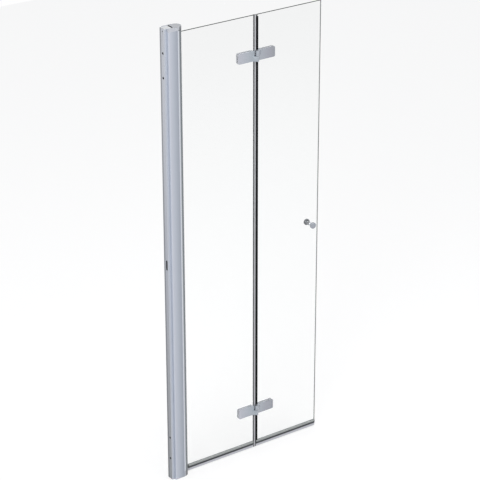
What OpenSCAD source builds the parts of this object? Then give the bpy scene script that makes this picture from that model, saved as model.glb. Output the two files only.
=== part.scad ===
// Bifold shower door: two clear glass leaves that fold inwards from a wall post.
// X runs along the closed door away from the wall, Y points into the shower, Z is up.
// The origin is on the wall face, in the plane of the glass, level with the foot of the post.
// All lengths are in millimetres. The door is drawn closed.

/* [Overall] */
// Distance from the wall to the free edge of the door
door_w = 757; // [700:1:1000]
// Height of the wall channel and the hinge post
post_h = 2000; // [1800:5:2200]
// Distance from the wall to the axis on which the two leaves fold
fold_x = 437; // [380:1:480]

/* [Glass] */
// Thickness of both panes
glass_t = 6; // [5:0.5:8]
// Drop from the top of the post to the top edge of the glass
glass_top_drop = 28; // [20:1:60]
// Height of the bottom edge of the glass over the foot of the post
glass_foot_gap = 27; // [27:1:40]
// Distance from the fold axis back to the edge of the inner pane
inner_pane_back = 3; // [2:0.5:4]
// Distance from the fold axis on to the edge of the outer pane
outer_pane_on = 6; // [5.5:0.5:8]

/* [Wall channel] */
// Width of the face that is screwed to the wall
channel_w = 31; // [28:0.5:33]
// Depth of the channel away from the wall
channel_d = 34; // [28:0.5:34]
// Wall of the channel
channel_t = 2; // [1.5:0.1:2.5]
// Bore of the round wall holes
wall_hole_d = 10; // [6:0.5:11]
// Distance of the wall holes and the slot from the middle of the face, towards the front
wall_hole_shift = 4; // [0:0.5:5]
// Height of the lowest hole over the foot, and of the highest one under the top
wall_hole_end = 100; // [60:5:200]
// Distance between the two holes of each pair
wall_hole_pitch = 100; // [60:5:200]
// Width of the levelling slot at half height
wall_slot_w = 10; // [6:0.5:11]
// Length of the levelling slot
wall_slot_l = 44; // [24:1:60]
// Bore of the small hole near the top
locator_d = 5; // [3:0.5:6]
// Drop of the small hole under the top
locator_drop = 11; // [10.5:0.5:20]
// Length of the plugs that close the channel's ends
channel_plug_h = 6; // [4:0.5:7]

/* [Hinge post] */
// Length of channel left bare between the wall and the post
bare_channel = 13; // [12:0.5:16]
// Metal between the pivot column's seat and the front and back of the post
post_side = 2.25; // [2.25:0.05:3.5]
// Room for the post to move towards the wall
adjust_room = 3.85; // [3.5:0.05:5]
// Outer wall of the post
post_wall = 2; // [1.6:0.1:2.2]
// Wall that guides the post along the channel
guide_wall = 1.5; // [1.2:0.1:1.8]
// Wall between the channel's space and the pivot column's seat
seat_wall = 1.8; // [1.5:0.1:2]
// Radius of the slight crown on the post's front and back
crown_r = 300; // [250:10:600]
// Distance from the pivot axis back to the highest line of the crown
crown_back = 18; // [12:1:22]
// Height of the cap on top of the post
top_cap_h = 14; // [14:0.5:16]
// Thickness of the plate under the post
foot_plate_t = 2; // [1.5:0.5:3]
// Room past the end of the channel in the opening of the caps
cap_window_room = 8; // [6:0.5:8]
// Distance that the top cap stands out past the pivot column
cap_overhang = 0.6; // [0.5:0.1:2]
// Height of the bearing block under the pivot column
foot_block_h = 22; // [18:0.5:22]

/* [Pivot column] */
// Radius of the pivot column
column_r = 22; // [21.5:0.1:22]
// Outer wall of the pivot column
column_wall = 2.5; // [2:0.1:3]
// Wall on both sides of the glass slot
slot_wall = 2.2; // [1.8:0.1:2.6]
// Distance from the pivot axis to the bottom of the glass slot
slot_depth_r = 8; // [7.5:0.5:9]
// Rubber on each side of the glass in its slot
glazing_wall = 2.3; // [1.5:0.1:2.3]
// Radius of the pivot pins
pivot_pin_r = 4; // [3.5:0.1:4.5]
// Length of each pivot pin inside the column
pivot_pin_grip = 32; // [20:1:60]
// Wall of the plastic bushes round the pivot pins
bush_wall = 3; // [2:0.1:3.5]
// Thickness of the bush flange and of the thrust washer
flange_t = 1.5; // [1:0.1:1.8]

/* [Fold hinges] */
// Width of each hinge plate along the door
plate_w = 75; // [60:1:90]
// Height of each hinge plate
plate_h = 44; // [36:1:50]
// Thickness of each hinge plate
plate_t = 5; // [4:0.1:6]
// Radius of the corners of the hinge plates
plate_corner_r = 6; // [3:0.5:10]
// Distance from the seals between the leaves to the full thickness of each plate
plate_gap = 3.5; // [2:0.5:8]
// Pad between a plate and the glass
pad_t = 1; // [0.8:0.1:1.2]
// Distance from the front of the glass to the fold axis
fold_out = 9.5; // [9.5:0.1:11]
// Radius of the hinge knuckles
knuckle_r = 7.5; // [7:0.1:7.5]
// Height of both knuckles together
knuckle_h = 46; // [44:1:50]
// Radius of the hinge pins
hinge_pin_r = 3.5; // [3:0.1:3.6]
// Distance from each end of the glass to the middle of its hinge
hinge_inset = 168; // [120:1:300]
// Distance of the clamping screws from the middle of a plate
hinge_screw_reach = 18; // [15:0.5:20]
// Radius of the clamping screws
hinge_screw_r = 2.5; // [2:0.1:3]
// Radius of the holes in the glass for the clamping screws
glass_hole_r = 6; // [5:0.5:7]

/* [Seals] */
// Grip of the soft seal over the edge of the inner pane
edge_seal_grip = 7.5; // [5:0.5:9]
// Grip of the gasket over the edge of the outer pane
gasket_grip = 4.5; // [3.5:0.5:7]
// Wall of the seals between the leaves
edge_seal_wall = 1.3; // [1:0.1:1.4]
// Radius of the soft bulb on the inner leaf's edge seal
bulb_r = 2.8; // [2:0.1:2.8]
// Drop of the black edge gasket under the top of the glass
gasket_top_drop = 8; // [4:1:20]
// Height of the lower end of the inner leaf's edge seal over the foot of the post
edge_seal_foot = 8; // [7:0.5:14]
// Thickness of the two wiper strips in the post
wiper_t = 1.8; // [1.5:0.1:2]

/* [Bottom rails] */
// Height of the rails that clip over the bottom edges of the glass
rail_h = 12; // [10:0.5:16]
// Width of the rails across the door
rail_w = 11; // [10:0.5:14]
// Distance from the pivot axis to the start of the inner rail
rail_start_r = 28; // [27.5:0.5:40]
// Height of the narrow neck of the bottom seals
seal_neck_h = 5; // [4:0.5:6]
// Height of the soft lip of the bottom seals
seal_lip_h = 14; // [10:0.5:14]
// Width of the top of the soft lip
seal_lip_w = 8; // [6:0.5:9]

/* [Knob] */
// Distance from the free edge of the door to the knob
knob_edge = 40; // [35:1:70]
// Height of the knob over the foot of the post
knob_z = 996; // [800:1:1200]
// Radius of the heads of the knob
knob_head_r = 13.5; // [10:0.5:16]
// Length of each head
knob_head_l = 13; // [10:0.5:15]
// Radius of the necks of the knob
knob_neck_r = 6.5; // [5.5:0.5:8]
// Length of each neck
knob_neck_l = 12; // [8:0.5:14]
// Radius of the stud that joins the two halves of the knob
knob_stud_r = 4; // [3:0.5:4]

/* [Fixings] */
// Radius of the screws that clamp the post to the channel
clamp_screw_r = 2; // [1.5:0.1:2.5]
// Distance from the post's wall side to the clamping screws
clamp_screw_in = 7; // [6.5:0.5:8]
// Distance from the ends of the post to the outer clamping screws
clamp_screw_end = 150; // [120:5:300]
// Radius of the screws that hold the caps of the post
cap_screw_r = 1.5; // [1.2:0.1:1.6]
// Length of the screws that hold the caps of the post
cap_screw_l = 30; // [20:1:40]

/* [Hidden] */

// Clearances
seat_gap = 0.05;        // between flat faces that seat on each other
slide_gap = 0.3;        // between the post and the channel that it slides on
turn_gap = 0.35;        // between the pivot column and its seat
pin_gap = 0.03;         // round a pin that is fixed in its bore
running_gap = 0.06;     // round a pin that turns in its bush
rest_gap = 0.3;         // between soft pieces of different leaves
through = 1;            // how far a cutting shape runs past the face it cuts
round_fn = 96;
crown_fn = 1440;

// Heights
glass_z0 = glass_foot_gap;
glass_z1 = post_h - glass_top_drop;
post_z0 = foot_plate_t;
post_z1 = post_h - top_cap_h;
column_z0 = foot_block_h + flange_t + seat_gap;
column_z1 = post_z1 - flange_t - seat_gap;
top_hinge_z = glass_z1 - hinge_inset;
foot_hinge_z = glass_z0 + hinge_inset;
clamp_screw_zs = [clamp_screw_end, post_h / 2, post_h - clamp_screw_end];
wall_hole_zs = [
    wall_hole_end, wall_hole_end + wall_hole_pitch,
    post_h - wall_hole_end - wall_hole_pitch, post_h - wall_hole_end
];
locator_z = post_h - locator_drop;

// Wall channel and post across the door
channel_half = channel_w / 2;
guide_half = channel_half + slide_gap;
seat_r = column_r + turn_gap;
pivot_x = channel_d + adjust_room + seat_wall + seat_r;
post_half = seat_r + post_side;
crown_x = pivot_x - crown_back;
shell_end_setback = 4;      // from the pivot axis back to the ends of the post's shell
post_end_x = pivot_x - shell_end_setback;
port_setback = 16;          // from the pivot axis back to the screw ports of the caps
port_x = pivot_x - port_setback;
port_depth = 5.2;           // of the screw ports under the post's front and back
port_y = post_half - port_depth;
port_r = cap_screw_r + seat_gap;
port_metal = 3;             // between a port's axis and the hollow beside it
pocket_end_x = port_x - port_metal;
space_end_x = port_x;       // end of the room for the channel inside the post
cap_window_x = channel_d + cap_window_room;
cap_r = column_r + cap_overhang;
clamp_x = bare_channel + clamp_screw_in;
clamp_head_r = 2 * clamp_screw_r;
clamp_head_t = 1.2 * clamp_screw_r;
clamp_head_sink = 0.4;      // how deep the heads of the clamping screws sit in the post
clamp_seat_y = half_depth(bare_channel) - clamp_head_sink;
clamp_tip_y = channel_half + seat_gap;
wiper_setback = 7.5;        // from the pivot axis back to the middle of the wiper strips
groove_x = pivot_x - wiper_setback;
wiper_floor = 1.2;          // post wall left behind a wiper strip
cap_screw_head_r = 2 * cap_screw_r;
cap_screw_head_h = 0.8 * foot_plate_t;

// Half depth of the crowned post at a distance from the wall
function half_depth(x) = post_half - crown_r + sqrt(crown_r * crown_r - (x - crown_x) * (x - crown_x));

// Pivot column
glass_half = glass_t / 2;
slot_half = glass_half + glazing_wall + seat_gap;
boss_wall = 3;
boss_r = pivot_pin_r + boss_wall;
spoke_half = 1.2;
bush_r = pivot_pin_r + bush_wall;
flange_reach = 4;
bush_flange_r = bush_r + flange_reach;
bush_top_floor = 4;         // metal left over the bush in the top cap
bush_foot_floor = 4;        // and under the bush in the foot block
gasket_x0 = pivot_x + slot_depth_r + seat_gap;
gasket_x1 = pivot_x + sqrt(column_r * column_r - slot_half * slot_half);
inner_glass_x0 = gasket_x0 + glazing_wall + seat_gap;
inner_glass_x1 = fold_x - inner_pane_back;
outer_glass_x0 = fold_x + outer_pane_on;

// Fold hinges, in their own frame with the fold axis at x = 0 and the plate on the +X side
fold_y = -(glass_half + fold_out);
plate_near = max(inner_pane_back + edge_seal_grip, outer_pane_on + gasket_grip) + plate_gap;
plate_mid = plate_near + plate_w / 2;
nose_gap = 2.5;             // between the other leaf's knuckle and the thin nose of a plate
plate_back_y = glass_half + pad_t + plate_t;
plate_front_y = -(glass_half + pad_t);
knuckle_back_y = fold_y + knuckle_r;
knuckle_half_gap = 0.5;     // half the slice between the two knuckles
knuckle_floor = 2.5;        // metal left at the blind ends of the knuckles
hinge_bush_wall = 1.4;
hinge_screw_grip = 3.2;     // thread in the front plate
hinge_head_r = 2 * hinge_screw_r;
hinge_head_t = hinge_screw_r;
pad_inset = 0.3;

// Seals between the leaves
edge_seal_half = glass_half + edge_seal_wall;
edge_seal_web = 1;
bulb_sink = 0.4;            // how far the bulb sinks into the web that carries it
bulb_wall = 1;
bulb_x = inner_glass_x1 + seat_gap + edge_seal_web + bulb_r - bulb_sink;
bulb_bore_r = bulb_r - bulb_wall;
gasket_nose = 2.4;          // rubber in front of the outer pane's edge
outer_gasket_x0 = max(bulb_x + bulb_r + rest_gap, outer_glass_x0 - gasket_nose);

// Bottom rails and seals
rail_web = 1.9;
rail_foot_z = glass_z0 - seat_gap - rail_web;
rail_top_z = rail_foot_z + rail_h;
rail_end_gap = 0.6;         // between a rail and the edge seal beside it
inner_rail_x0 = pivot_x + rail_start_r;
inner_rail_x1 = inner_glass_x1 - edge_seal_grip - rail_end_gap;
outer_rail_x0 = outer_gasket_x0;
neck_half = 2.2;
lip_tip = 2;

// Knob
washer_t = 1;
washer_lip = 1.5;           // how far a washer stands out past the knob's neck
knob_x = door_w - knob_edge;
knob_y0 = glass_half + washer_t + seat_gap;
knob_bore_l = 10;
knob_round = 1.2;
knob_flare = 2.5;

// Solid box given by its two corners
module box(low, high) {
    translate(low) cube(high - low);
}

// Upright rod
module rod(x, y, z0, z1, r) {
    translate([x, y, z0]) cylinder(r = r, h = z1 - z0, $fn = round_fn);
}

// Rod along Y, from y0 to y1
module cross_rod(x, z, y0, y1, r) {
    translate([x, y0, z]) rotate([-90, 0, 0]) cylinder(r = r, h = y1 - y0, $fn = round_fn);
}

// Rod along Y whose radius goes from r0 at y0 to r1 at y1
module cross_cone(x, z, y0, y1, r0, r1) {
    translate([x, y0, z]) rotate([-90, 0, 0]) cylinder(r1 = r0, r2 = r1, h = y1 - y0, $fn = round_fn);
}

// Outline with rounded corners, its lower left corner at the origin
module rounded_outline(w, h, r) {
    translate([r, 0]) square([w - 2 * r, h]);
    translate([0, r]) square([w, h - 2 * r]);
    for (x = [r, w - r], y = [r, h - r]) translate([x, y]) circle(r, $fn = round_fn);
}

// Upright extrusion of an outline
module upright(z0, z1) {
    translate([0, 0, z0]) linear_extrude(z1 - z0) children();
}

// ---- Wall channel ----

module wall_slot_outline() {
    straight = wall_slot_l - wall_slot_w;
    translate([-wall_slot_w / 2, -straight / 2]) square([wall_slot_w, straight]);
    for (side = [-1, 1]) translate([0, side * straight / 2]) circle(wall_slot_w / 2, $fn = round_fn);
}

module wall_hole(z, d) {
    translate([-through, -wall_hole_shift, z]) rotate([0, 90, 0])
        cylinder(d = d, h = channel_t + 2 * through, $fn = round_fn);
}

module wall_channel() color([0.76, 0.78, 0.81]) difference() {
    box([0, -channel_half, 0], [channel_d, channel_half, post_h]);
    box(
        [channel_t, channel_t - channel_half, -through],
        [channel_d + through, channel_half - channel_t, post_h + through]
    );
    for (z = wall_hole_zs) wall_hole(z, wall_hole_d);
    wall_hole(locator_z, locator_d);
    translate([-through, -wall_hole_shift, post_h / 2]) rotate([90, 0, 90])
        linear_extrude(channel_t + 2 * through)
            wall_slot_outline();
}

// Plug that fits between the channel's arms. It is drawn at the foot.
module channel_cap() color([0.80, 0.81, 0.83]) {
    plug_half = channel_half - channel_t - seat_gap;
    box([channel_t + seat_gap, -plug_half, 0], [channel_d, plug_half, channel_plug_h]);
}

module channel_foot_cap() channel_cap();

module channel_top_cap() translate([0, 0, post_h]) mirror([0, 0, 1]) channel_cap();

// ---- Hinge post ----

module post_outline() intersection() {
    translate([bare_channel, -post_half]) square([post_end_x - bare_channel, 2 * post_half]);
    for (side = [-1, 1]) translate([crown_x, side * (crown_r - post_half)]) circle(crown_r, $fn = crown_fn);
}

// Space inside the post for the wall channel
module channel_space() difference() {
    translate([bare_channel - through, -guide_half]) square([space_end_x + through - bare_channel, 2 * guide_half]);
    translate([pivot_x, 0]) circle(seat_r + seat_wall, $fn = round_fn);
}

module post_pocket() {
    pocket_y0 = guide_half + guide_wall;
    pocket_y1 = half_depth(bare_channel) - post_wall;
    pocket_x0 = bare_channel + post_wall;
    translate([pocket_x0, pocket_y0]) square([pocket_end_x - pocket_x0, pocket_y1 - pocket_y0]);
}

module wiper_groove(gap) {
    groove_w = wiper_t + 2 * gap;
    translate([groove_x - groove_w / 2, column_r / 2])
        square([groove_w, half_depth(groove_x) - wiper_floor + gap - column_r / 2]);
}

module post_section() difference() {
    post_outline();
    channel_space();
    translate([pivot_x, 0]) circle(seat_r, $fn = round_fn);
    for (side = [0, 1]) mirror([0, side]) {
        post_pocket();
        wiper_groove(seat_gap);
        translate([port_x, port_y]) circle(port_r, $fn = round_fn);
    }
}

module hinge_post() color([0.74, 0.76, 0.79]) difference() {
    upright(post_z0, post_z1) post_section();
    for (z = clamp_screw_zs) {
        cross_rod(clamp_x, z, guide_half - through, post_half, clamp_screw_r + pin_gap);
        cross_rod(clamp_x, z, clamp_seat_y, post_half + through, clamp_head_r + seat_gap);
    }
}

// Outline of the caps, open where the wall channel passes through
module cap_outline(disc_r) difference() {
    union() {
        post_outline();
        translate([pivot_x, 0]) circle(disc_r, $fn = round_fn);
    }
    translate([bare_channel - through, -guide_half]) square([cap_window_x - bare_channel + through, 2 * guide_half]);
}

// Screw with a countersunk head whose flat top is at z = 0
module cap_screw(gap, length) {
    shank_r = cap_screw_r + gap;
    head_r = cap_screw_head_r + gap;
    translate([0, 0, -length]) cylinder(r = shank_r, h = length - seat_gap, $fn = round_fn);
    translate([0, 0, -cap_screw_head_h]) cylinder(r1 = shank_r, r2 = head_r, h = cap_screw_head_h, $fn = round_fn);
}

module cap_screw_pair(gap, length) {
    for (side = [-1, 1]) translate([port_x, side * port_y, 0]) cap_screw(gap, length);
}

module post_top_cap() color([0.78, 0.80, 0.83]) difference() {
    upright(post_z1 + seat_gap, post_h) cap_outline(cap_r);
    rod(pivot_x, 0, post_z1 - through, post_h - bush_top_floor, bush_r + pin_gap);
    translate([0, 0, post_h]) cap_screw_pair(seat_gap, cap_screw_l);
}

module post_foot_cap() color([0.70, 0.72, 0.75]) difference() {
    union() {
        upright(0, post_z0 - seat_gap) cap_outline(column_r);
        upright(0, foot_block_h) translate([pivot_x, 0]) circle(column_r, $fn = round_fn);
    }
    rod(pivot_x, 0, bush_foot_floor, foot_block_h + through, bush_r + pin_gap);
    mirror([0, 0, 1]) cap_screw_pair(seat_gap, cap_screw_l);
}

module top_cap_screws() color([0.62, 0.63, 0.65]) translate([0, 0, post_h]) cap_screw_pair(0, cap_screw_l);

module foot_cap_screws() color([0.62, 0.63, 0.65]) mirror([0, 0, 1]) cap_screw_pair(0, cap_screw_l);

module clamp_screws() color([0.62, 0.63, 0.65]) for (z = clamp_screw_zs) {
    cross_rod(clamp_x, z, clamp_tip_y, clamp_seat_y + seat_gap, clamp_screw_r);
    difference() {
        cross_rod(clamp_x, z, clamp_seat_y + seat_gap, clamp_seat_y + clamp_head_t, clamp_head_r);
        cross_rod(clamp_x, z, clamp_seat_y + clamp_head_t / 2, clamp_seat_y + 2 * clamp_head_t, clamp_screw_r / 2);
    }
}

module wiper_strip() color([0.35, 0.36, 0.38]) upright(post_z0, post_z1) difference() {
    wiper_groove(0);
    translate([pivot_x, 0]) circle(column_r + rest_gap, $fn = round_fn);
}

module back_wiper_strip() wiper_strip();

module front_wiper_strip() mirror([0, 1, 0]) wiper_strip();

// ---- Pivot ----

// Plastic bush that stands on its flange
module pivot_bush(height) difference() {
    union() {
        cylinder(r = bush_r, h = height, $fn = round_fn);
        cylinder(r = bush_flange_r, h = flange_t - seat_gap, $fn = round_fn);
    }
    translate([0, 0, -through]) cylinder(r = pivot_pin_r + running_gap, h = height + 2 * through, $fn = round_fn);
}

module top_pivot_bush() color([0.20, 0.20, 0.21])
    translate([pivot_x, 0, post_z1 - flange_t + seat_gap])
        pivot_bush(top_cap_h - bush_top_floor + flange_t - 2 * seat_gap);

module foot_pivot_bush() color([0.20, 0.20, 0.21]) difference() {
    rod(pivot_x, 0, bush_foot_floor, foot_block_h, bush_r);
    rod(pivot_x, 0, bush_foot_floor - through, foot_block_h + through, pivot_pin_r + running_gap);
}

module thrust_washer() color([0.88, 0.88, 0.86]) difference() {
    rod(pivot_x, 0, foot_block_h, foot_block_h + flange_t - seat_gap, bush_flange_r);
    rod(pivot_x, 0, foot_block_h - through, foot_block_h + flange_t + through, pivot_pin_r + running_gap);
}

module top_pivot_pin() color([0.66, 0.67, 0.69])
    rod(pivot_x, 0, column_z1 - pivot_pin_grip, post_h - bush_top_floor - 2 * flange_t, pivot_pin_r);

module foot_pivot_pin() color([0.66, 0.67, 0.69])
    rod(pivot_x, 0, bush_foot_floor + flange_t, column_z0 + pivot_pin_grip, pivot_pin_r);

module column_section() translate([pivot_x, 0]) difference() {
    circle(column_r, $fn = round_fn);
    circle(pivot_pin_r + pin_gap, $fn = round_fn);
    translate([slot_depth_r, -slot_half]) square([column_r, 2 * slot_half]);
    difference() {
        circle(column_r - column_wall, $fn = round_fn);
        circle(boss_r, $fn = round_fn);
        translate([0, -slot_half - slot_wall]) square([column_r, 2 * (slot_half + slot_wall)]);
        translate([-column_r, -spoke_half]) square([column_r, 2 * spoke_half]);
    }
}

module pivot_column() color([0.80, 0.82, 0.85]) upright(column_z0, column_z1) column_section();

// Rubber in the column's slot: a channel round the glass, solid over and under it
module glazing_gasket() color([0.45, 0.46, 0.47]) difference() {
    box([gasket_x0, seat_gap - slot_half, column_z0], [gasket_x1, slot_half - seat_gap, column_z1]);
    box(
        [inner_glass_x0 - seat_gap, -glass_half - seat_gap, glass_z0 - seat_gap],
        [gasket_x1 + through, glass_half + seat_gap, glass_z1 + seat_gap]
    );
}

// ---- Glass ----

module hinge_glass_holes(side) {
    for (z = [foot_hinge_z, top_hinge_z], reach = [-1, 1])
        cross_rod(
            fold_x + side * (plate_mid + reach * hinge_screw_reach), z,
            -glass_t, glass_t, glass_hole_r
        );
}

module inner_glass() color([0.85, 0.93, 0.92, 0.4]) difference() {
    box([inner_glass_x0, -glass_half, glass_z0], [inner_glass_x1, glass_half, glass_z1]);
    hinge_glass_holes(-1);
}

module outer_glass() color([0.85, 0.93, 0.92, 0.4]) difference() {
    box([outer_glass_x0, -glass_half, glass_z0], [door_w, glass_half, glass_z1]);
    hinge_glass_holes(1);
    cross_rod(knob_x, knob_z, -glass_t, glass_t, glass_hole_r);
}

// ---- Seals between the leaves ----

// Channel from x0 to x1 that grips the edge of a pane lying between slot_x0 and slot_x1
module edge_clip_outline(x0, x1, slot_x0, slot_x1) {
    arm_y = glass_half + seat_gap;
    difference() {
        translate([x0, -edge_seal_half]) square([x1 - x0, 2 * edge_seal_half]);
        translate([slot_x0, -arm_y]) square([slot_x1 - slot_x0, 2 * arm_y]);
    }
}

module inner_edge_seal() color([0.66, 0.68, 0.70]) upright(edge_seal_foot, glass_z1) {
    web_x0 = inner_glass_x1 + seat_gap;
    clip_x0 = inner_glass_x1 - edge_seal_grip;
    edge_clip_outline(clip_x0, web_x0 + edge_seal_web, clip_x0 - through, web_x0);
    translate([bulb_x, 0]) difference() {
        circle(bulb_r, $fn = round_fn);
        circle(bulb_bore_r, $fn = round_fn);
    }
}

module outer_edge_gasket() color([0.08, 0.08, 0.09]) upright(rail_top_z + rest_gap, glass_z1 - gasket_top_drop) {
    web_x1 = outer_glass_x0 - seat_gap;
    clip_x1 = outer_glass_x0 + gasket_grip;
    edge_clip_outline(outer_gasket_x0, clip_x1, web_x1, clip_x1 + through);
}

// ---- Bottom rails and seals ----

module bottom_rail(x0, x1) difference() {
    box([x0, -rail_w / 2, rail_foot_z], [x1, rail_w / 2, rail_top_z]);
    box(
        [x0 - through, -glass_half - seat_gap, glass_z0 - seat_gap],
        [x1 + through, glass_half + seat_gap, rail_top_z + through]
    );
}

// Outline of the seal under a rail, seen along the door: a neck and a soft lip
module bottom_seal_outline() {
    neck_top = rail_foot_z - seat_gap;
    lip_top = rail_foot_z - seal_neck_h;
    lip_foot = lip_top - seal_lip_h;
    polygon([
        [-neck_half, neck_top], [-neck_half, lip_top], [-seal_lip_w / 2, lip_top], [-lip_tip / 2, lip_foot],
        [lip_tip / 2, lip_foot], [seal_lip_w / 2, lip_top], [neck_half, lip_top], [neck_half, neck_top]
    ]);
}

module bottom_seal(x0, x1) translate([x0, 0, 0]) rotate([90, 0, 90]) linear_extrude(x1 - x0) bottom_seal_outline();

module inner_bottom_rail() color([0.60, 0.62, 0.63]) bottom_rail(inner_rail_x0, inner_rail_x1);

module inner_bottom_seal() color([0.82, 0.83, 0.86]) bottom_seal(inner_rail_x0, inner_rail_x1);

module outer_bottom_rail() color([0.60, 0.62, 0.63]) bottom_rail(outer_rail_x0, door_w);

module outer_bottom_seal() color([0.82, 0.83, 0.86]) bottom_seal(outer_rail_x0, door_w);

// ---- Fold hinges ----

// Places a hinge piece on the inner (-1) or outer (1) leaf, at a height
module on_leaf(side, z) {
    translate([fold_x, 0, z]) mirror([side < 0 ? 1 : 0, 0, 0]) children();
}

// Plate lying against one side of the glass, its back at y_back
module plate_solid(y_back, thickness, inset) {
    translate([0, y_back, 0]) rotate([90, 0, 0]) linear_extrude(thickness)
        translate([plate_near + inset, inset - plate_h / 2])
            rounded_outline(plate_w - 2 * inset, plate_h - 2 * inset, plate_corner_r - inset);
}

module at_hinge_screws() {
    for (reach = [-1, 1]) translate([plate_mid + reach * hinge_screw_reach, 0, 0]) children();
}

// Point where a line from p touches a circle of radius r round c, on the front side
function tangent_point(p, c, r) =
    let (d = p - c, turn = atan2(d[1], d[0]) - acos(r / norm(d)))
    c + r * [cos(turn), sin(turn)];

// Web between the plate and the knuckle, seen from above
module tongue_outline() {
    axis = [0, fold_y];
    front = [plate_near + plate_corner_r, plate_front_y - plate_t];
    polygon([
        axis, tangent_point(front, axis, knuckle_r), front,
        [front[0], knuckle_back_y], [0, knuckle_back_y]
    ]);
}

// Thin nose of the plate that reaches over the seals towards the other leaf's knuckle, from above
module nose_outline() {
    nose_x = knuckle_r + nose_gap;
    nose_y = plate_front_y - plate_t;
    translate([nose_x, nose_y]) square([plate_near + plate_corner_r - nose_x, knuckle_back_y - nose_y]);
}

// Front plate with its knuckle between two heights. The bore is blind at the far end.
module hinge_plate(z0, z1, bore_r, bore_z0, bore_z1) difference() {
    union() {
        plate_solid(plate_front_y, plate_t, 0);
        upright(-plate_h / 2, plate_h / 2) nose_outline();
        rod(0, fold_y, z0, z1, knuckle_r);
        upright(max(z0, -plate_h / 2), min(z1, plate_h / 2)) tongue_outline();
    }
    rod(0, fold_y, bore_z0, bore_z1, bore_r);
    at_hinge_screws() cross_rod(
        0, 0, plate_front_y - hinge_screw_grip - seat_gap, plate_front_y + through, hinge_screw_r + pin_gap
    );
}

module inner_hinge_plate() color([0.74, 0.76, 0.79]) hinge_plate(
    -knuckle_h / 2, -knuckle_half_gap,
    hinge_pin_r + pin_gap, knuckle_floor - knuckle_h / 2, 0
);

module outer_hinge_plate() color([0.74, 0.76, 0.79]) hinge_plate(
    knuckle_half_gap, knuckle_h / 2,
    hinge_pin_r + hinge_bush_wall + pin_gap, 0, knuckle_h / 2 - knuckle_floor
);

module back_plate() color([0.74, 0.76, 0.79]) difference() {
    plate_solid(plate_back_y, plate_t, 0);
    at_hinge_screws() {
        cross_rod(0, 0, 0, plate_back_y + through, hinge_screw_r + pin_gap);
        cross_cone(
            0, 0, plate_back_y - hinge_head_t, plate_back_y + seat_gap,
            hinge_screw_r + pin_gap, hinge_head_r + 2 * seat_gap
        );
    }
}

// Pads between the glass and the two plates
module hinge_pads() color([0.85, 0.86, 0.87])
    for (pad_back = [-glass_half - seat_gap, glass_half + pad_t - seat_gap]) difference() {
        plate_solid(pad_back, pad_t - 2 * seat_gap, pad_inset);
        at_hinge_screws() cross_rod(0, 0, -plate_back_y, plate_back_y, hinge_screw_r + 2 * seat_gap);
    }

module hinge_screws() color([0.62, 0.63, 0.65]) at_hinge_screws() {
    head_y = plate_back_y - hinge_head_t;
    cross_rod(0, 0, plate_front_y - hinge_screw_grip, head_y + seat_gap, hinge_screw_r);
    difference() {
        cross_cone(0, 0, head_y, plate_back_y - seat_gap, hinge_screw_r, hinge_head_r - seat_gap);
        cross_rod(0, 0, head_y + hinge_head_t / 3, plate_back_y, hinge_screw_r / 2);
    }
}

module hinge_pin() color([0.66, 0.67, 0.69])
    rod(0, fold_y, knuckle_floor + seat_gap - knuckle_h / 2, knuckle_h / 2 - knuckle_floor - flange_t, hinge_pin_r);

// Bush in the upper knuckle, with the flange that carries the outer leaf
module hinge_bush() color([0.20, 0.20, 0.21]) difference() {
    union() {
        rod(0, fold_y, -knuckle_half_gap + seat_gap, knuckle_half_gap - seat_gap, knuckle_r - seat_gap);
        rod(0, fold_y, 0, knuckle_h / 2 - knuckle_floor - seat_gap, hinge_pin_r + hinge_bush_wall);
    }
    rod(0, fold_y, -through, knuckle_h / 2, hinge_pin_r + running_gap);
}

module top_inner_hinge_plate() on_leaf(-1, top_hinge_z) inner_hinge_plate();
module foot_inner_hinge_plate() on_leaf(-1, foot_hinge_z) inner_hinge_plate();
module top_inner_back_plate() on_leaf(-1, top_hinge_z) back_plate();
module foot_inner_back_plate() on_leaf(-1, foot_hinge_z) back_plate();
module top_inner_hinge_pads() on_leaf(-1, top_hinge_z) hinge_pads();
module foot_inner_hinge_pads() on_leaf(-1, foot_hinge_z) hinge_pads();
module top_inner_hinge_screws() on_leaf(-1, top_hinge_z) hinge_screws();
module foot_inner_hinge_screws() on_leaf(-1, foot_hinge_z) hinge_screws();
module top_hinge_pin() on_leaf(-1, top_hinge_z) hinge_pin();
module foot_hinge_pin() on_leaf(-1, foot_hinge_z) hinge_pin();
module top_outer_hinge_plate() on_leaf(1, top_hinge_z) outer_hinge_plate();
module foot_outer_hinge_plate() on_leaf(1, foot_hinge_z) outer_hinge_plate();
module top_outer_back_plate() on_leaf(1, top_hinge_z) back_plate();
module foot_outer_back_plate() on_leaf(1, foot_hinge_z) back_plate();
module top_outer_hinge_pads() on_leaf(1, top_hinge_z) hinge_pads();
module foot_outer_hinge_pads() on_leaf(1, foot_hinge_z) hinge_pads();
module top_outer_hinge_screws() on_leaf(1, top_hinge_z) hinge_screws();
module foot_outer_hinge_screws() on_leaf(1, foot_hinge_z) hinge_screws();
module top_hinge_bush() on_leaf(1, top_hinge_z) hinge_bush();
module foot_hinge_bush() on_leaf(1, foot_hinge_z) hinge_bush();

// ---- Knob ----

// Half of the knob on the +Y side of the glass: a neck that flares into a round head
module knob_half() color([0.74, 0.76, 0.79]) translate([knob_x, knob_y0, knob_z]) rotate([-90, 0, 0])
    difference() {
        rotate_extrude($fn = round_fn) {
            knob_l = knob_neck_l + knob_head_l;
            polygon([
                [0, 0], [knob_neck_r, 0], [knob_neck_r, knob_neck_l - knob_flare],
                [knob_head_r - knob_round, knob_neck_l], [knob_head_r, knob_neck_l + knob_round],
                [knob_head_r, knob_l - knob_round], [knob_head_r - knob_round, knob_l], [0, knob_l]
            ]);
        }
        translate([0, 0, -through])
            cylinder(r = knob_stud_r + pin_gap, h = knob_bore_l + through, $fn = round_fn);
    }

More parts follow.
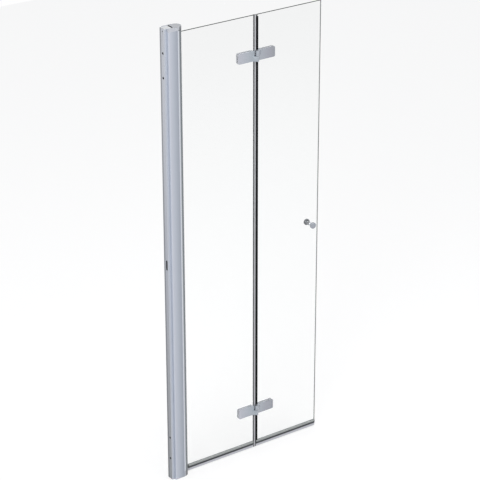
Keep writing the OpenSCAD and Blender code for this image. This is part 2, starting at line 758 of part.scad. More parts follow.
module back_knob() knob_half();

module front_knob() mirror([0, 1, 0]) knob_half();

module knob_stud() color([0.66, 0.67, 0.69]) {
    stud_end = knob_y0 + knob_bore_l - seat_gap;
    cross_rod(knob_x, knob_z, -stud_end, stud_end, knob_stud_r);
}

module knob_washers() color([0.85, 0.86, 0.87]) for (side = [0, 1]) mirror([0, side, 0]) difference() {
    cross_rod(knob_x, knob_z, glass_half + seat_gap, glass_half + washer_t, knob_neck_r + washer_lip);
    cross_rod(knob_x, knob_z, 0, knob_y0, knob_stud_r + seat_gap);
}

wall_channel();
channel_top_cap();
channel_foot_cap();
hinge_post();
post_top_cap();
post_foot_cap();
top_pivot_bush();
foot_pivot_bush();
thrust_washer();
clamp_screws();
top_cap_screws();
foot_cap_screws();
front_wiper_strip();
back_wiper_strip();
pivot_column();
top_pivot_pin();
foot_pivot_pin();
glazing_gasket();
inner_glass();
inner_edge_seal();
inner_bottom_rail();
inner_bottom_seal();
top_inner_hinge_plate();
foot_inner_hinge_plate();
top_inner_back_plate();
foot_inner_back_plate();
top_inner_hinge_pads();
foot_inner_hinge_pads();
top_inner_hinge_screws();
foot_inner_hinge_screws();
top_hinge_pin();
foot_hinge_pin();
outer_glass();
outer_edge_gasket();
outer_bottom_rail();
outer_bottom_seal();
top_outer_hinge_plate();
foot_outer_hinge_plate();
top_outer_back_plate();
foot_outer_back_plate();
top_outer_hinge_pads();
foot_outer_hinge_pads();
top_outer_hinge_screws();
foot_outer_hinge_screws();
top_hinge_bush();
foot_hinge_bush();
front_knob();
back_knob();
knob_stud();
knob_washers();
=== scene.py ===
"""Looks of the bifold shower door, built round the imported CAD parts."""

from math import cos, pi, radians, sin

import bmesh
import bpy
from mathutils import Matrix, Vector


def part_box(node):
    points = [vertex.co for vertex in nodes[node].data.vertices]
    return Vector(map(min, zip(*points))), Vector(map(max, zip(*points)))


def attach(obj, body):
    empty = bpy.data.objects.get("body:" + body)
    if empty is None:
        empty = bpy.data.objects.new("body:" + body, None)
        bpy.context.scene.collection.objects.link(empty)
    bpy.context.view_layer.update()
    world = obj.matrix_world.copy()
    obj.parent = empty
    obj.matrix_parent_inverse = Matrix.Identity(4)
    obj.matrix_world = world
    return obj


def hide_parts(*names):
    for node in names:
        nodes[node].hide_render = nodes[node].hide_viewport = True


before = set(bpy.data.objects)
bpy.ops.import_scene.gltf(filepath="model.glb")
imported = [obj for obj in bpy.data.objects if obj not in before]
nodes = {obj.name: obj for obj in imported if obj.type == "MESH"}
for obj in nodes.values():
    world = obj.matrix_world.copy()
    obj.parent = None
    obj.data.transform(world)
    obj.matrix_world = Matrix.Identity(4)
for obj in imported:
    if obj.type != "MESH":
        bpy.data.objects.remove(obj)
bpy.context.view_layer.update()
MM = 0.001

# ---------------------------------------------------------------- camera
CAMERA_AT = (-3.8359, -6.0525, 4.4511)
AZIMUTH, ELEVATION, ROLL = -34.7355, 25.01, -0.11
LENS_MM, SENSOR_MM = 148.35, 36.0
CLIP_END = 100

camera_data = bpy.data.cameras.new("camera")
camera_data.lens, camera_data.sensor_width = LENS_MM, SENSOR_MM
camera_data.clip_end = CLIP_END
camera = bpy.data.objects.new("camera", camera_data)
around = Matrix.Rotation(radians(AZIMUTH), 4, "Z")
tilted = Matrix.Rotation(radians(90 - ELEVATION), 4, "X")
rolled = Matrix.Rotation(radians(ROLL), 4, "Z")
camera.matrix_world = Matrix.Translation(CAMERA_AT) @ around @ tilted @ rolled
bpy.context.scene.collection.objects.link(camera)
bpy.context.scene.camera = camera
bpy.context.scene.view_settings.view_transform = "Standard"


# ---------------------------------------------------------------- materials
def to_linear(value):
    """A channel of 0 to 255 as linear light, by the sRGB curve."""
    value /= 255
    return value / 12.92 if value <= 0.04045 else ((value + 0.055) / 1.055) ** 2.4


def srgb(red, green, blue):
    return (to_linear(red), to_linear(green), to_linear(blue), 1.0)


def grey(value):
    """An even grey in linear light, also used as a factor on a colour."""
    return (value, value, value, 1.0)


class Material:
    """A node material with one Principled shader. Positions in it are in metres."""

    def __init__(self, name, **constants):
        self.material = bpy.data.materials.new(name)
        self.material.use_nodes = True
        self.tree = self.material.node_tree
        self.shader = self.tree.nodes["Principled BSDF"]
        for socket, value in constants.items():
            self.shader.inputs[socket.replace("_", " ")].default_value = value

    def node(self, kind, **settings):
        made = self.tree.nodes.new(kind)
        for key, value in settings.items():
            setattr(made, key, value)
        return made

    def link(self, source, target):
        self.tree.links.new(source, target)

    def maths(self, operation, first, second):
        """A Math node; either side may be a socket or a number."""
        made = self.node("ShaderNodeMath", operation=operation)
        for side, value in enumerate((first, second)):
            if isinstance(value, (int, float)):
                made.inputs[side].default_value = value
            else:
                self.link(value, made.inputs[side])
        return made.outputs[0]

    def noise(self, scale, detail, stretch):
        """Noise over the object's own coordinates, drawn out along an axis by a stretch under 1."""
        coordinates = self.node("ShaderNodeTexCoord")
        mapping = self.node("ShaderNodeMapping")
        mapping.inputs["Scale"].default_value = stretch
        noise = self.node("ShaderNodeTexNoise")
        noise.inputs["Scale"].default_value = scale
        noise.inputs["Detail"].default_value = detail
        noise.inputs["Roughness"].default_value = NOISE_ROUGHNESS
        self.link(coordinates.outputs["Object"], mapping.inputs["Vector"])
        self.link(mapping.outputs["Vector"], noise.inputs["Vector"])
        return noise.outputs["Fac"]

    def ramp(self, source, stops):
        """A colour ramp of (position, colour) stops."""
        ramp = self.node("ShaderNodeValToRGB")
        points = ramp.color_ramp.elements
        while len(points) < len(stops):
            points.new(0.5)  # anywhere, since every point is placed below
        for point, (position, colour) in zip(points, stops):
            point.position, point.color = position, colour
        self.link(source, ramp.inputs["Fac"])
        return ramp.outputs["Color"]

    def spread(self, source, low, high, from_low=0.0, from_high=1.0):
        """source moved from one range to another."""
        spread = self.node("ShaderNodeMapRange")
        spread.inputs["From Min"].default_value = from_low
        spread.inputs["From Max"].default_value = from_high
        spread.inputs["To Min"].default_value = low
        spread.inputs["To Max"].default_value = high
        self.link(source, spread.inputs["Value"])
        return spread.outputs["Result"]

    def place(self, axis):
        """The X, Y or Z coordinate of a point."""
        coordinates = self.node("ShaderNodeTexCoord")
        split = self.node("ShaderNodeSeparateXYZ")
        self.link(coordinates.outputs["Object"], split.inputs["Vector"])
        return split.outputs[axis]

    def share(self, axis, low, high):
        """How far a point is along an axis: 0 at low, 1 at high."""
        return self.spread(self.place(axis), 0.0, 1.0, low, high)

    def below(self, axis, limit):
        """1 for points below a limit along an axis, 0 for the others."""
        return self.maths("LESS_THAN", self.place(axis), limit)

    def above(self, axis, limit):
        """1 for points above a limit along an axis, 0 for the others."""
        return self.maths("GREATER_THAN", self.place(axis), limit)

    def mixed(self, first, second, share=1.0, blend="MIX"):
        """Two colours mixed; share and second may be sockets or constants."""
        mix = self.node("ShaderNodeMix", data_type="RGBA", blend_type=blend)
        self.link(first, mix.inputs["A"])
        for value, socket in ((second, "B"), (share, "Factor")):
            if isinstance(value, (int, float, tuple)):
                mix.inputs[socket].default_value = value
            else:
                self.link(value, mix.inputs[socket])
        return mix.outputs["Result"]

    def inside(self, low, high):
        """1 for points inside a box, 0 outside it."""
        distances = []
        for axis, start, end in zip("XYZ", low, high):
            offset = self.maths("SUBTRACT", self.place(axis), (start + end) / 2)
            distance = self.maths("ABSOLUTE", offset, 0)
            distances.append(self.maths("DIVIDE", distance, (end - start) / 2))
        furthest = self.maths("MAXIMUM", distances[0], distances[1])
        furthest = self.maths("MAXIMUM", furthest, distances[2])
        return self.maths("LESS_THAN", furthest, 1)

    def colour(self, source):
        self.link(source, self.shader.inputs["Base Color"])

    def roughness(self, source):
        self.link(source, self.shader.inputs["Roughness"])

    def grain(self, source, smoothest, roughest, strength, depth):
        """Roughness and bump from one noise."""
        self.roughness(self.spread(source, smoothest, roughest))
        bump = self.node("ShaderNodeBump")
        bump.inputs["Strength"].default_value = strength
        bump.inputs["Distance"].default_value = depth
        self.link(source, bump.inputs["Height"])
        self.link(bump.outputs["Normal"], self.shader.inputs["Normal"])


# How a noise is drawn out: along Z, from much to little, then along X, then not at all
LENGTHWISE = (1, 1, 0.01)
EXTRUDED = (1, 1, 0.02)
MOULDED = (1, 1, 0.05)
WIPED = (1, 1, 0.35)
CROSSWISE = (0.02, 1, 1)
EVEN = (1, 1, 1)
NOISE_ROUGHNESS = 0.55

# Painted shade for the insides of hollows, where little light gets in
PAINTED_SHADE_INSIDE = srgb(34, 35, 38)
GLASS_IOR, METAL_IOR, PLASTIC_IOR = 1.5, 1.5, 1.48

# Scale, darkest shade and bump strength of the lines of a drawn profile and of polished metal
DRAWN = (1400.0, 0.96, 0.06)
POLISHED = (3200.0, 0.985, 0.015)

# Depth of the bump, and how far the roughness goes up and down with it
METAL_LINE_DEPTH, METAL_ROUGH_SPREAD = 0.05 * MM, 0.04
PLASTIC_GRAIN_DEPTH, PLASTIC_ROUGH_SPREAD = 0.04 * MM, 0.08
GROUND_DEPTH = 0.03 * MM

# Scale of the grain of plastic and rubber, and of the moulded caps and plugs
FINE_GRAIN, CAP_GRAIN = 1500.0, 900.0


def mottled(low, high):
    """Tone with a faint broad mottle."""
    return lambda made: made.ramp(
        made.noise(scale=5.0, detail=2.0, stretch=EVEN), [(0.3, low), (0.7, high)])


def toned(axis, low, high, stops):
    """Tone that changes along an axis between two places."""
    return lambda made: made.ramp(made.share(axis, low, high), stops)


def metal(name, tone, rough, metallic=0.6, along=LENGTHWISE, finish=DRAWN, hollow=None):
    """Anodised or plated metal with fine lines. A hollow is a box whose inner faces get painted
    shade.
    """
    made = Material(name, Metallic=metallic, IOR=METAL_IOR)
    scale, darkest, strength = finish
    lines = made.noise(scale, detail=3.0, stretch=along)
    shade = made.ramp(lines, [(0.25, grey(darkest)), (0.75, grey(1.0))])
    colour = made.mixed(tone(made), shade, blend="MULTIPLY")
    if hollow:
        colour = made.mixed(colour, PAINTED_SHADE_INSIDE, made.inside(*hollow))
    made.colour(colour)
    made.grain(lines, rough - METAL_ROUGH_SPREAD, rough + METAL_ROUGH_SPREAD,
               strength, METAL_LINE_DEPTH)
    return made.material


def soft_plastic(name, low, high, rough, scale=FINE_GRAIN, specular=0.5, hollow=None, shade=None):
    """Rubber or moulded plastic with a fine grain and a faint uneven tone; shade and hollow add
    painted shade.
    """
    made = Material(name, IOR=PLASTIC_IOR, Specular_IOR_Level=specular)
    unevenness = made.noise(scale=40.0, detail=3.0, stretch=MOULDED)
    colour = made.ramp(unevenness, [(0.3, low), (0.7, high)])
    if shade:
        colour = shade(made, colour)
    if hollow:
        colour = made.mixed(colour, PAINTED_SHADE_INSIDE, made.inside(*hollow))
    made.colour(colour)
    made.grain(made.noise(scale, detail=5.0, stretch=EVEN), rough - PLASTIC_ROUGH_SPREAD,
               rough + PLASTIC_ROUGH_SPREAD, strength=0.15, depth=PLASTIC_GRAIN_DEPTH)
    return made.material


def extruded(name, tone, scale, stretch, smoothest, roughest):
    """Extruded rubber or vinyl with a fine grain along it."""
    made = Material(name, IOR=PLASTIC_IOR)
    made.colour(tone(made))
    made.grain(made.noise(scale, detail=4.0, stretch=stretch), smoothest, roughest,
               strength=0.1, depth=PLASTIC_GRAIN_DEPTH)
    return made.material


channel_low, channel_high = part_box("wall_channel")
post_low, post_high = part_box("hinge_post")
cap_low, cap_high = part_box("post_top_cap")
column_low, column_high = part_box("pivot_column")
plug_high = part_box("channel_top_cap")[1]

# Boxes whose insides get painted shade, dark because little light gets into them
HALF_WINDOW = channel_high.y + 0.4 * MM  # just past the sides of the post's opening
ARM_INSIDE = plug_high.y + 0.1 * MM      # just past the inner faces of the channel's arms
WALL_FACE = 0.3 * MM                     # the channel's wall face stays light up to here
PLUG_FACE = 1.5 * MM                     # and a plug's outer face down to this depth
CAP_FACE = 0.1 * MM                      # and the top of a cap
POST_DARK_TO = 45 * MM                   # end of the painted shade along X in the post
CAP_DARK_TO = 42.2 * MM                  # and in the openings of its caps
PAST = 10 * MM                           # how far a box goes past an open end
CHANNEL_HOLLOW = (
    (WALL_FACE, -ARM_INSIDE, -PAST), (channel_high.x + PAST, ARM_INSIDE, channel_high.z + PAST))
PLUG_HOLLOW = (
    (WALL_FACE, -ARM_INSIDE - PAST, PLUG_FACE),
    (plug_high.x + PAST, ARM_INSIDE + PAST, plug_high.z - PLUG_FACE))
POST_HOLLOW = ((-PAST, -HALF_WINDOW, -PAST), (POST_DARK_TO, HALF_WINDOW, post_high.z + PAST))
CAP_HOLLOW = ((-PAST, -HALF_WINDOW, -PAST), (CAP_DARK_TO, HALF_WINDOW, cap_high.z - CAP_FACE))

CORNER_HIGHLIGHT_WIDTH = 1.6 * MM  # width of the painted highlight on the wall channel's front corner
SIDE_FROM = 0.8 * MM      # where its sides start, along X
CAP_RIM = 0.6 * MM        # height of a cap's eased rim, shown as its top is
# Across the pivot column, for its painted shade and the caps': end of its light side, middle of the
# change, start of its dark side
LIGHT_TO, HALF_DARK, DARK_FROM = 0.51, 0.57, 0.65


def channel_painted_shading(made):
    """Painted shading: wall face darker towards its foot and back edge, a painted highlight on the
    front corner, sides painted pale against the shade they lie in.
    """
    # Painted shade: the wall face darker towards its foot
    face = made.ramp(made.share("Z", channel_low.z, channel_high.z), [
        (0.0, srgb(150, 153, 158)), (0.17, srgb(161, 164, 170)),
        (0.5, srgb(180, 184, 194)), (0.84, srgb(201, 204, 212)),
    ])
    # Painted shade along the wall face's back edge
    edge = made.ramp(made.share("Y", channel_low.y, channel_high.y), [
        (0.55, grey(1.0)), (0.70, grey(0.76)), (0.86, grey(0.50)), (1.0, grey(0.42)),
    ])
    face = made.mixed(face, edge, blend="MULTIPLY")
    # Painted highlight on the front corner
    face = made.mixed(face, srgb(208, 213, 222), made.below("Y", channel_low.y + CORNER_HIGHLIGHT_WIDTH))
    # Sides painted pale to make up for the shade they lie in
    side = made.ramp(made.share("X", 0.0, post_low.x), [
        (0.1, srgb(188, 193, 203)), (0.6, srgb(206, 212, 223)),
    ])
    return made.mixed(face, side, made.above("X", SIDE_FROM))


def cap_painted_shade(made, colour):
    """A cap's colour with painted shade: greyer on top, more so towards the pivot column, and dark
    on its sides past the middle of the pivot column.
    """
    # Painted shade on the caps' sides, as on the pivot column
    side = made.ramp(made.share("X", column_low.x, column_high.x), [
        (LIGHT_TO, grey(1.0)), (HALF_DARK, grey(0.62)), (DARK_FROM, grey(0.32)),
    ])
    # Painted shade on the caps' tops, darker towards the pivot column
    top = made.ramp(made.share("X", cap_low.x, cap_high.x), [
        (0.0, grey(0.66)), (0.38, grey(0.62)), (0.52, grey(0.52)), (1.0, grey(0.47)),
    ])
    below_top = made.below("Z", cap_high.z - CAP_RIM)
    return made.mixed(colour, made.mixed(top, side, below_top), blend="MULTIPLY")


# Painted shading along X: lightest by the wall, darker towards the column, and a painted highlight
# on the post's last stretch
post_metal = metal("post_metal", toned("X", post_low.x, post_high.x, [
    (0.0, srgb(216, 221, 231)), (0.04, srgb(206, 211, 222)), (0.12, srgb(200, 204, 215)),
    (0.5, srgb(184, 190, 201)), (0.85, srgb(168, 174, 185)), (0.955, srgb(156, 162, 174)),
    (0.97, srgb(214, 218, 227)),
]), rough=0.30, hollow=POST_HOLLOW)
channel_metal = metal("channel_metal", channel_painted_shading, rough=0.36, hollow=CHANNEL_HOLLOW)
# Painted shade: the pivot column light on its near side and darkening past its middle
column_metal = metal("column_metal", toned("X", column_low.x, column_high.x, [
    (0.0, srgb(222, 226, 234)), (LIGHT_TO, srgb(222, 226, 234)),
    (HALF_DARK, srgb(170, 174, 180)), (DARK_FROM, srgb(118, 124, 129)),
]), rough=0.24)
rail_low, rail_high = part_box("inner_bottom_rail")
# Painted shade: dark at the rail's foot for the shadow line over the lip, painted lighter towards
# its top
rail_metal = metal("rail_metal", toned("Z", rail_low.z, rail_high.z, [
    (0.0, srgb(64, 68, 74)), (0.24, srgb(70, 74, 80)), (0.34, srgb(150, 154, 153)),
    (0.8, srgb(166, 170, 169)), (1.0, srgb(190, 194, 194)),
]), rough=0.32, along=CROSSWISE)
pin_metal = metal("pin_metal", mottled(srgb(168, 170, 174), srgb(180, 182, 186)),
                  rough=0.28, metallic=1.0)
screw_metal = metal("screw_metal", mottled(srgb(150, 152, 156), srgb(164, 166, 170)),
                    rough=0.32, metallic=1.0, along=EVEN)
inner_plate_low, inner_plate_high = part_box("top_inner_hinge_plate")
outer_plate_low, outer_plate_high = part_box("top_outer_hinge_plate")
# Painted shading: the outer plates a darker copy of the inner plates' chrome, each plate darker
# along X
inner_chrome = metal("inner_chrome", toned("X", inner_plate_low.x, inner_plate_high.x, [
    (0.0, srgb(192, 194, 203)), (0.35, srgb(184, 189, 198)), (0.75, srgb(172, 180, 188)),
    (1.0, srgb(174, 180, 188)),
]), rough=0.22, metallic=0.7, finish=POLISHED)
outer_chrome = metal("outer_chrome", toned("X", outer_plate_low.x, outer_plate_high.x, [
    (0.0, srgb(178, 184, 192)), (0.3, srgb(176, 181, 189)), (0.7, srgb(168, 170, 179)),
    (1.0, srgb(160, 163, 170)),
]), rough=0.22, metallic=0.7, finish=POLISHED)
knob_low, knob_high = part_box("front_knob")[0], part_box("back_knob")[1]
# Painted reflections and shade: bands of light and dark along the knobs' length
knob_chrome = metal("knob_chrome", toned("Y", knob_low.y, knob_high.y, [
    (0.0, srgb(164, 168, 176)), (0.12, srgb(140, 144, 150)), (0.24, srgb(176, 180, 187)),
    (0.32, srgb(214, 217, 224)), (0.62, srgb(196, 198, 200)), (0.76, srgb(112, 115, 118)),
    (0.92, srgb(118, 121, 124)), (1.0, srgb(170, 173, 176)),
]), rough=0.14, metallic=0.9, along=EVEN, finish=POLISHED)
cap_silver = soft_plastic("cap_silver", srgb(200, 203, 211), srgb(208, 211, 217),
                          rough=0.30, scale=CAP_GRAIN, hollow=CAP_HOLLOW, shade=cap_painted_shade)
plug_silver = soft_plastic("plug_silver", srgb(188, 190, 192), srgb(196, 198, 200),
                           rough=0.34, scale=CAP_GRAIN, hollow=PLUG_HOLLOW)
dark_plastic = soft_plastic("dark_plastic", srgb(52, 52, 54), srgb(62, 62, 64), rough=0.45)
pale_plastic = soft_plastic("pale_plastic", srgb(226, 228, 230), srgb(234, 236, 238), rough=0.42)
grey_rubber = soft_plastic("grey_rubber", srgb(88, 90, 94), srgb(100, 102, 106), rough=0.6)
black_rubber = soft_plastic("black_rubber", srgb(7, 8, 11), srgb(12, 13, 17),
                            rough=0.5, specular=0.1)

GREY_TOP = 2.0                  # height over which the glass is painted greyer and its painted edge shade lighter
SIDE_EDGE_SHADE = 3.4 * MM      # the last of the glass before its free side, painted darker
TOP_EDGE_SHADE = 1.5 * MM       # and before its top


def clear_glass():
    """Clear toughened glass, painted greyer towards the top and painted darker at its free edges,
    most at the foot; faintly wiped.
    """
    made = Material("clear_glass", IOR=GLASS_IOR, Transmission_Weight=1.0)
    height = made.share("Z", 0.0, GREY_TOP)
    # The glass's faint colour, painted greyer towards the top
    tint_and_painted_grey = made.ramp(height, [
        (0.0, (0.988, 0.991, 0.990, 1)), (0.55, (0.981, 0.986, 0.984, 1)),
        (0.8, (0.968, 0.973, 0.970, 1)), (1.0, (0.954, 0.958, 0.956, 1)),
    ])
    # Painted shade at the free edges, darkest at the foot
    shade = made.ramp(height, [
        (0.0, (0.20, 0.22, 0.21, 1)), (0.5, (0.30, 0.33, 0.32, 1)), (1.0, (0.42, 0.45, 0.44, 1)),
    ])
    glass_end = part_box("outer_glass")[1]
    at_side = made.above("X", glass_end.x - SIDE_EDGE_SHADE)
    at_top = made.above("Z", glass_end.z - TOP_EDGE_SHADE)
    made.colour(made.mixed(tint_and_painted_grey, shade, made.maths("MAXIMUM", at_side, at_top)))
    marks = made.noise(scale=14.0, detail=5.0, stretch=WIPED)
    made.roughness(made.spread(marks, low=0.0, high=0.012, from_low=0.35, from_high=0.75))
    return made.material


def glass_edge():
    """Ground edge of the glass: satin, dark grey with a trace of green."""
    made = Material("glass_edge", IOR=GLASS_IOR, Specular_IOR_Level=0.08)
    grind = made.noise(scale=600.0, detail=4.0, stretch=EVEN)
    made.colour(made.ramp(grind, [(0.3, srgb(34, 40, 37)), (0.7, srgb(46, 52, 49))]))
    made.grain(grind, smoothest=0.45, roughest=0.6, strength=0.1, depth=GROUND_DEPTH)
    return made.material


glass, ground_edge = clear_glass(), glass_edge()
seal_low, seal_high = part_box("inner_edge_seal")
# A grey seal, dark on both sides of a pale band
seal_grey = extruded("edge_seal", toned("X", seal_low.x, seal_high.x, [
    (0.0, srgb(160, 161, 164)), (0.05, srgb(100, 101, 104)), (0.10, srgb(82, 83, 86)),
    (0.22, srgb(88, 88, 92)), (0.34, srgb(236, 237, 240)), (0.50, srgb(228, 229, 232)),
    (0.62, srgb(100, 100, 104)),
]), scale=1200.0, stretch=EXTRUDED, smoothest=0.34, roughest=0.48)
lip_low, lip_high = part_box("inner_bottom_seal")
# A pale lip with painted shadow on its neck under the rail
lip_vinyl = extruded("bottom_lip", toned("Z", lip_low.z, lip_high.z, [
    (0.0, srgb(236, 237, 243)), (0.45, srgb(228, 229, 236)), (0.70, srgb(216, 217, 225)),
    (0.74, srgb(66, 68, 72)), (1.0, srgb(52, 54, 58)),
]), scale=700.0, stretch=CROSSWISE, smoothest=0.30, roughest=0.42)

MATERIALS = {
    "wall_channel": channel_metal, "channel_top_cap": plug_silver, "channel_foot_cap": plug_silver,
    "hinge_post": post_metal, "post_top_cap": cap_silver, "post_foot_cap": cap_silver,
    "top_pivot_bush": dark_plastic, "foot_pivot_bush": dark_plastic, "thrust_washer": pale_plastic,
    "clamp_screws": screw_metal, "top_cap_screws": screw_metal, "foot_cap_screws": screw_metal,
    "front_wiper_strip": grey_rubber, "back_wiper_strip": grey_rubber,
    "pivot_column": column_metal, "top_pivot_pin": pin_metal, "foot_pivot_pin": pin_metal,
    "glazing_gasket": grey_rubber, "inner_glass": glass, "outer_glass": glass,
    "inner_edge_seal": seal_grey, "outer_edge_gasket": black_rubber,
    "inner_bottom_rail": rail_metal, "outer_bottom_rail": rail_metal,
    "inner_bottom_seal": lip_vinyl, "outer_bottom_seal": lip_vinyl,
    "front_knob": knob_chrome, "back_knob": knob_chrome,
    "knob_stud": pin_metal, "knob_washers": pale_plastic,
}
HINGE_MATERIALS = {
    "inner_hinge_plate": inner_chrome, "outer_hinge_plate": outer_chrome,
    "inner_back_plate": inner_chrome, "outer_back_plate": outer_chrome,
    "inner_hinge_pads": pale_plastic, "outer_hinge_pads": pale_plastic,
    "inner_hinge_screws": screw_metal, "outer_hinge_screws": screw_metal,
    "hinge_pin": pin_metal, "hinge_bush": dark_plastic,
}
for end in ("top", "foot"):
    for part, material in HINGE_MATERIALS.items():
        MATERIALS[f"{end}_{part}"] = material

for name, node in nodes.items():
    node.data.materials.clear()
    node.data.materials.append(MATERIALS[name])

# ---------------------------------------------------------------- edges of the CAD parts
WELD_WITHIN = 0.01 * MM
SHARP_ANGLE = radians(35)

# Width in millimetres and number of steps of a rounded edge
EDGES = {
    "wall_channel": (0.3, 2), "hinge_post": (0.3, 2),
    "post_top_cap": (0.5, 2), "post_foot_cap": (0.4, 2),
    "inner_bottom_rail": (0.4, 2), "outer_bottom_rail": (0.4, 2),
}
for end in ("top", "foot"):
    for part in ("inner_back_plate", "outer_back_plate", "inner_hinge_plate", "outer_hinge_plate"):
        EDGES[f"{end}_{part}"] = (0.7, 3)


def ease_edges(name, width_mm, segments):
    """Rounds the sharp edges of a CAD part as they are shown."""
    node = nodes[name]
    weld = node.modifiers.new("weld", "WELD")
    weld.merge_threshold = WELD_WITHIN
    bevel = node.modifiers.new("bevel", "BEVEL")
    bevel.width, bevel.segments = width_mm * MM, segments
    bevel.limit_method, bevel.angle_limit = "ANGLE", SHARP_ANGLE


for name, (width, segments) in EDGES.items():
    ease_edges(name, width, segments)


# ---------------------------------------------------------------- pieces built here
def add_piece(name, mesh, materials, body, slot, *replaced):
    for material in materials:
        mesh.materials.append(material)
    piece = bpy.data.objects.new(name, mesh)
    bpy.context.scene.collection.objects.link(piece)
    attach(piece, body)
    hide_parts(*replaced)
    return piece


def mesh_of(made, name):
    """The mesh of a finished bmesh, which is freed."""
    bmesh.ops.recalc_face_normals(made, faces=made.faces)
    mesh = bpy.data.meshes.new(name)
    made.to_mesh(mesh)
    made.free()
    return mesh


def ring(centre, radius, count):
    """Points on a circle round a centre, in X and Z."""
    angles = [2 * pi * step / count for step in range(count)]
    return [(centre[0] + radius * cos(angle), centre[1] + radius * sin(angle)) for angle in angles]


ARRIS = 1.0 * MM
HOLE_STEPS = 48
PANE_MATERIALS, GROUND = [glass, ground_edge], 1  # and the place of the ground edge in them


def pane(name, node, body, holes):
    """A pane with ground edges, an arris all round and its drilled holes."""
    low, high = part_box(node)
    made = bmesh.new()

    def loop_at(points, y):
        return [made.verts.new((x, y, z)) for x, z in points]

    def outline(inset):
        return [
            (low.x + inset, low.z + inset), (high.x - inset, low.z + inset),
            (high.x - inset, high.z - inset), (low.x + inset, high.z - inset),
        ]

    depths = [(low.y, ARRIS), (low.y + ARRIS, 0.0), (high.y - ARRIS, 0.0), (high.y, ARRIS)]
    contours = [[outline(inset) for _, inset in depths]]
    for centre, radius in holes:
        contours.append([ring(centre, radius + inset, HOLE_STEPS) for _, inset in depths])
    ends = {0: [], len(depths) - 1: []}
    for contour in contours:
        loops = [loop_at(points, y) for points, (y, _) in zip(contour, depths)]
        for first, second in zip(loops, loops[1:]):
            for index in range(len(first)):
                after = (index + 1) % len(first)
                corners = (first[index], first[after], second[after], second[index])
                made.faces.new(corners).material_index = GROUND
        for side, edges in ends.items():
            loop = loops[side]
            edges += [made.edges.get((loop[index], loop[index - 1])) for index in range(len(loop))]
    for edges in ends.values():
        bmesh.ops.triangle_fill(made, edges=edges, use_beauty=True)
    return add_piece(name, mesh_of(made, name), PANE_MATERIALS, body, "glass", node)


HINGE_SCREW_HEAD_R = 4.95 * MM
GLASS_HOLE_R = 6 * MM


def screw_places(leaf):
    """Centres of the clamping screws of a leaf's two hinges, in X and Z."""
    places = []
    for hinge_end in ("top", "foot"):
        low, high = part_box(f"{hinge_end}_{leaf}_hinge_screws")
        z = (low.z + high.z) / 2
        places += [(low.x + HINGE_SCREW_HEAD_R, z), (high.x - HINGE_SCREW_HEAD_R, z)]
    return places


stud_low, stud_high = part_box("knob_stud")
knob_middle = (stud_low + stud_high) / 2
knob_place = (knob_middle.x, knob_middle.z)
inner_holes = [(place, GLASS_HOLE_R) for place in screw_places("inner")]
outer_holes = [(place, GLASS_HOLE_R) for place in screw_places("outer") + [knob_place]]
pane("inner_pane", "inner_glass", "inner_leaf", inner_holes)
pane("outer_pane", "outer_glass", "outer_leaf", outer_holes)

# Share of the knob's length from the glass, and share of its radius
KNOB_PROFILE = [
    (0.00, 0.50), (0.00, 0.56), (0.03, 0.58), (0.08, 0.56), (0.16, 0.50), (0.26, 0.47),
    (0.36, 0.50), (0.44, 0.58), (0.50, 0.70), (0.55, 0.84), (0.60, 0.94), (0.65, 0.985),
    (0.70, 1.00), (0.88, 1.00), (0.93, 0.985), (0.965, 0.945), (0.98, 0.88), (0.985, 0.60),
    (0.995, 0.30), (1.00, 0.0),
]
KNOB_STEPS = 72


def turned_knob(name, node, side):
    """A turned knob: slim waist, flared head with a rolled rim and a lightly domed face.

    side is the way it points along Y, -1 or 1.
    """
    low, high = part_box(node)
    length, radius = high.y - low.y, (high.z - low.z) / 2
    base = low.y if side > 0 else high.y
    made = bmesh.new()
    rings = []
    for along, out in KNOB_PROFILE:
        y = base + side * along * length
        points = ring(knob_place, out * radius, KNOB_STEPS) if out else [knob_place]
        rings.append([made.verts.new((x, y, z)) for x, z in points])
    for first, second in zip(rings, rings[1:]):
        for index in range(KNOB_STEPS):
            after = (index + 1) % KNOB_STEPS
            if len(second) == 1:
                made.faces.new((first[index], first[after], second[0]))
            else:
                made.faces.new((first[index], first[after], second[after], second[index]))
    made.faces.new(rings[0])
    for face in made.faces:
        face.smooth = len(face.verts) < KNOB_STEPS
    return add_piece(name, mesh_of(made, name), [knob_chrome], "outer_leaf", "knob_chrome", node)


turned_knob("front_turned_knob", "front_knob", side=-1)
turned_knob("back_turned_knob", "back_knob", side=1)

# ---------------------------------------------------------------- floor and light
FLOOR_HALF = 6.0
FLOOR_DROP = 0.5 * MM
FLOOR_TONE = 0.36
FLOOR_GLOW = 0.69
WORLD_COLOUR = (0.97, 0.98, 1.0, 1)
WORLD_LIGHT = 0.63


def shown_rays(tree):
    """1 for rays that show a background: seen directly, in metal or through glass."""
    path = tree.nodes.new("ShaderNodeLightPath")
    shown = path.outputs["Is Camera Ray"]
    for kind in ("Is Transmission Ray", "Is Glossy Ray"):
        either = tree.nodes.new("ShaderNodeMath")
        either.operation = "MAXIMUM"
        tree.links.new(shown, either.inputs[0])
        tree.links.new(path.outputs[kind], either.inputs[1])
        shown = either.outputs[0]
    return shown


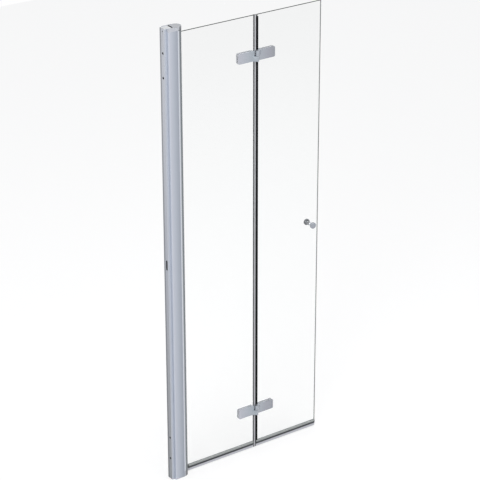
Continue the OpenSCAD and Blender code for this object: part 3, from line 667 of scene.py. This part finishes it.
def floor_white():
    """Pale floor that keeps the shadow and shows as white where it is looked at."""
    made = Material("floor_white", Roughness=0.9, Specular_IOR_Level=0.0)
    made.shader.inputs["Base Color"].default_value = grey(FLOOR_TONE)
    glow = made.node("ShaderNodeEmission")
    made.link(made.maths("MULTIPLY", shown_rays(made.tree), FLOOR_GLOW), glow.inputs["Strength"])
    added = made.node("ShaderNodeAddShader")
    made.link(made.shader.outputs["BSDF"], added.inputs[0])
    made.link(glow.outputs["Emission"], added.inputs[1])
    made.link(added.outputs["Shader"], made.tree.nodes["Material Output"].inputs["Surface"])
    return made.material


def white_world():
    """A soft even light, with white where the background is looked at."""
    world = bpy.data.worlds.new("studio")
    bpy.context.scene.world = world
    world.use_nodes = True
    tree = world.node_tree
    room = tree.nodes["Background"]
    room.inputs["Color"].default_value = WORLD_COLOUR
    room.inputs["Strength"].default_value = WORLD_LIGHT
    white = tree.nodes.new("ShaderNodeBackground")
    white.inputs["Color"].default_value = grey(1.0)
    white.inputs["Strength"].default_value = 1.0
    either = tree.nodes.new("ShaderNodeMixShader")
    tree.links.new(shown_rays(tree), either.inputs["Fac"])
    tree.links.new(room.outputs["Background"], either.inputs[1])
    tree.links.new(white.outputs["Background"], either.inputs[2])
    tree.links.new(either.outputs["Shader"], tree.nodes["World Output"].inputs["Surface"])


def soft_light(name, at, aim, size, watts):
    data = bpy.data.lights.new(name, "AREA")
    data.shape, data.size, data.energy = "DISK", size, watts
    light = bpy.data.objects.new(name, data)
    light.location = at
    light.rotation_mode = "QUATERNION"
    light.rotation_quaternion = (Vector(aim) - Vector(at)).to_track_quat("-Z", "Y")
    bpy.context.scene.collection.objects.link(light)


floor_mesh = bpy.data.meshes.new("floor")
floor_mesh.from_pydata([
    (-FLOOR_HALF, -FLOOR_HALF, 0), (FLOOR_HALF, -FLOOR_HALF, 0),
    (FLOOR_HALF, FLOOR_HALF, 0), (-FLOOR_HALF, FLOOR_HALF, 0),
], [], [(0, 1, 2, 3)])
floor = bpy.data.objects.new("floor", floor_mesh)
floor.location.z = -FLOOR_DROP
floor_mesh.materials.append(floor_white())
bpy.context.scene.collection.objects.link(floor)

white_world()
soft_light("key", at=(-3.5, -3.0, 3.6), aim=(0.3, 0, 1.0), size=2.4, watts=80)
soft_light("overhead", at=(0.3, -0.3, 4.6), aim=(0.3, 0, 0), size=2.6, watts=46)
soft_light("fill", at=(2.6, -3.6, 2.4), aim=(0.3, 0, 1.0), size=2.4, watts=21)
